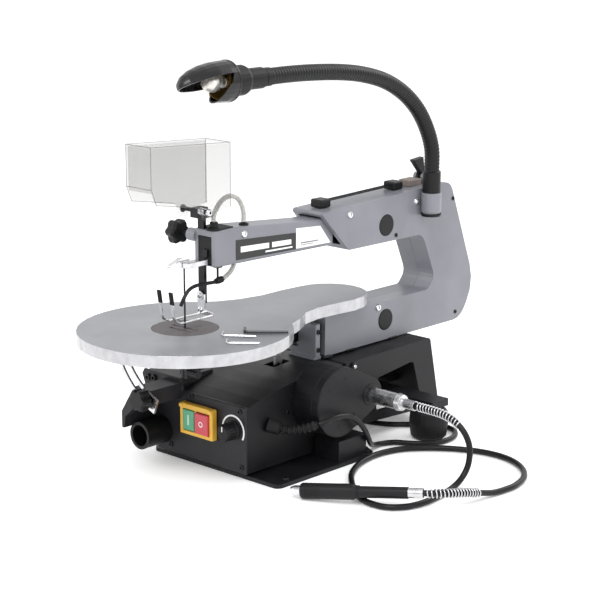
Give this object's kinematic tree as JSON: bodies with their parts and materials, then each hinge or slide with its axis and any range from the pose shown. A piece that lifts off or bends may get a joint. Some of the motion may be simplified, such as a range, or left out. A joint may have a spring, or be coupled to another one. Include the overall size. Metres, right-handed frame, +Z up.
{
  "type": "scroll saw",
  "caption": "Parallel-arm scroll saw with a tilting table, C-frame, blade guard, work lamp, chip blower, dust port and a flexible-shaft handpiece.",
  "frame": {"origin": "on the floor, midway between the front edge of the base and the back of the rear feet, on the saw's centre plane", "axes": "+X to the operator's right, +Y from the operator to the rear, +Z up"},
  "size_m": [0.5054, 0.6084, 0.478],
  "materials": {
    "cast_grey": "satin grey paint on cast aluminium",
    "table_alloy": "linear-brushed cast aluminium",
    "insert_grey": "fine matt moulding",
    "black_moulding": "fine spark-eroded moulding",
    "panel_black": "fine spark-eroded moulding",
    "bright_steel": "machined and polished",
    "dark_steel": "blackened steel",
    "black_rubber": "matt",
    "switch_yellow": "satin moulding",
    "button_green": "satin moulding",
    "button_red": "satin moulding",
    "clear_plastic": "clear moulding",
    "clear_glass": "clear bulb"
  },
  "bodies": {
    "base": {"base_plate": "black_moulding", "rear_support": "black_moulding", "rear_foot_right": "black_rubber", "rear_foot_left": "black_rubber", "front_housing": "black_moulding", "front_panel": "panel_black", "dust_port": "black_moulding", "switch_frame": "switch_yellow", "motor_housing": "black_moulding", "motor_end_cover": "black_moulding", "motor": "dark_steel", "take_off_belt": "black_rubber", "frame_right": "cast_grey", "frame_left": "cast_grey", "upper_pivot_pin": "bright_steel", "upper_pivot_cap": "black_moulding", "lower_pivot_pin": "bright_steel", "lower_pivot_cap": "black_moulding", "arm_housing": "cast_grey", "trunnion_bracket": "cast_grey", "air_hose_upper": "clear_plastic", "air_hose_lower": "clear_plastic", "blower_nozzle": "black_moulding", "lamp_bracket": "cast_grey", "blade_storage_front": "black_moulding", "blade_storage_rear": "black_moulding", "flex_coupling": "bright_steel", "flex_shaft": "black_rubber", "handpiece": "black_moulding", "strain_relief": "black_rubber", "mains_cord": "black_rubber", "mains_coil": "black_rubber", "plug": "black_rubber"},
    "on_button": {"button_on": "button_green"},
    "off_button": {"button_off": "button_red"},
    "speed_dial": {"speed_knob": "black_moulding"},
    "motor_rotor": {"motor_shaft": "bright_steel"},
    "take_off": {"take_off_spindle": "bright_steel"},
    "chuck": {"collet": "bright_steel"},
    "lower_arm_body": {"lower_arm": "dark_steel"},
    "upper_arm_body": {"upper_arm": "dark_steel"},
    "tension_link": {"tension_rod": "bright_steel"},
    "crank_link": {"connecting_rod": "bright_steel"},
    "blade_carrier": {"blade": "dark_steel", "upper_blade_holder": "bright_steel", "lower_blade_holder": "bright_steel"},
    "blade_clamp": {"blade_clamp_lever": "bright_steel"},
    "tilting_table": {"table": "table_alloy", "table_insert": "insert_grey", "tilt_quadrant": "bright_steel"},
    "tilt_lock": {"tilt_lock_knob": "black_moulding"},
    "hold_down": {"holddown_post": "dark_steel", "drop_foot": "bright_steel"},
    "hold_down_lock": {"holddown_knob": "black_moulding"},
    "blade_guard": {"guard": "clear_plastic"},
    "lamp_arm": {"gooseneck": "black_moulding", "lamp_socket": "black_moulding"},
    "lamp_head": {"lamp_shade": "black_moulding", "lamp_bulb": "clear_glass"},
    "tensioner": {"tension_lever": "black_moulding"}
  },
  "joints": [
    {"name": "table_tilt", "type": "hinge", "parent": "base", "child": "tilting_table", "pos_m": [0, -0.186, 0.178], "axis": [0, -1, 0], "range_deg": [0, 30]},
    {"name": "tilt_lock_turn", "type": "hinge", "parent": "base", "child": "tilt_lock", "pos_m": [-0.0525, -0.2013, 0.08707], "axis": [0, -1, 0], "range_deg": [-90, 90]},
    {"name": "lower_arm_swing", "type": "hinge", "parent": "base", "child": "lower_arm_body", "pos_m": [0, 0.13, 0.133], "axis": [1, 0, 0], "range_deg": [-1.36, 1.36]},
    {"name": "upper_arm_swing", "type": "hinge", "parent": "base", "child": "upper_arm_body", "pos_m": [0, 0.13, 0.252], "axis": [1, 0, 0], "range_deg": [-1.36, 1.36]},
    {"name": "tension_link_pivot", "type": "hinge", "parent": "lower_arm_body", "child": "tension_link", "pos_m": [0, 0.245, 0.133], "axis": [1, 0, 0], "range_deg": [-1.36, 1.36]},
    {"name": "crank_link_pivot", "type": "hinge", "parent": "lower_arm_body", "child": "crank_link", "pos_m": [0, -0.033, 0.13], "axis": [1, 0, 0], "range_deg": [-1.36, 1.36]},
    {"name": "blade_pivot", "type": "hinge", "parent": "lower_arm_body", "child": "blade_carrier", "pos_m": [0, -0.186, 0.126], "axis": [1, 0, 0], "range_deg": [-1.36, 1.36]},
    {"name": "blade_clamp_turn", "type": "hinge", "parent": "blade_carrier", "child": "blade_clamp", "pos_m": [-0.0048, -0.182, 0.2545], "axis": [0, 0, -1], "range_deg": [0, 60]},
    {"name": "motor_spin", "type": "hinge", "parent": "base", "child": "motor_rotor", "pos_m": [0, -0.033, 0.077], "axis": [1, 0, 0], "continuous": true},
    {"name": "take_off_spin", "type": "hinge", "parent": "base", "child": "take_off", "pos_m": [0, 0.017, 0.076], "axis": [1, 0, 0], "continuous": true},
    {"name": "collet_spin", "type": "hinge", "parent": "base", "child": "chuck", "pos_m": [0.142, -0.147, 0.0092], "axis": [0.8873, 0.4547, 0.0771], "continuous": true},
    {"name": "on_button_press", "type": "slide", "parent": "base", "child": "on_button", "axis": [0, 1, 0], "range_m": [0, 0.003], "stiffness_N_per_m": 400},
    {"name": "off_button_press", "type": "slide", "parent": "base", "child": "off_button", "axis": [0, 1, 0], "range_m": [0, 0.003], "stiffness_N_per_m": 400},
    {"name": "speed_dial_turn", "type": "hinge", "parent": "base", "child": "speed_dial", "pos_m": [0.038, -0.1493, 0.057], "axis": [0, -1, 0], "range_deg": [0, 270]},
    {"name": "hold_down_slide", "type": "slide", "parent": "base", "child": "hold_down", "axis": [0, 0, 1], "range_m": [0, 0.03]},
    {"name": "hold_down_lock_turn", "type": "hinge", "parent": "base", "child": "hold_down_lock", "pos_m": [-0.042, -0.1496, 0.276], "axis": [-1, 0, 0], "range_deg": [-180, 180]},
    {"name": "guard_swing", "type": "hinge", "parent": "hold_down", "child": "blade_guard", "pos_m": [0, -0.167, 0.309], "axis": [1, 0, 0], "range_deg": [0, 90]},
    {"name": "tension_lever_throw", "type": "hinge", "parent": "base", "child": "tensioner", "pos_m": [0, 0.226, 0.297], "axis": [-1, 0, 0], "range_deg": [0, 75]},
    {"name": "lamp_swivel", "type": "hinge", "parent": "base", "child": "lamp_arm", "pos_m": [0.037, 0.201, 0.286], "axis": [0, 0, 1], "range_deg": [-60, 60]},
    {"name": "shade_turn", "type": "hinge", "parent": "lamp_arm", "child": "lamp_head", "pos_m": [0.037, -0.153, 0.455], "axis": [0, 1, 0], "range_deg": [-45, 45]}
  ],
  "couplings": [
    {"joint": "upper_arm_swing", "follows": "lower_arm_swing", "ratio": 1},
    {"joint": "tension_link_pivot", "follows": "lower_arm_swing", "ratio": -1},
    {"joint": "crank_link_pivot", "follows": "lower_arm_swing", "ratio": -1},
    {"joint": "blade_pivot", "follows": "lower_arm_swing", "ratio": -1},
    {"joint": "take_off_spin", "follows": "motor_spin", "ratio": 1},
    {"joint": "collet_spin", "follows": "motor_spin", "ratio": 1}
  ]
}
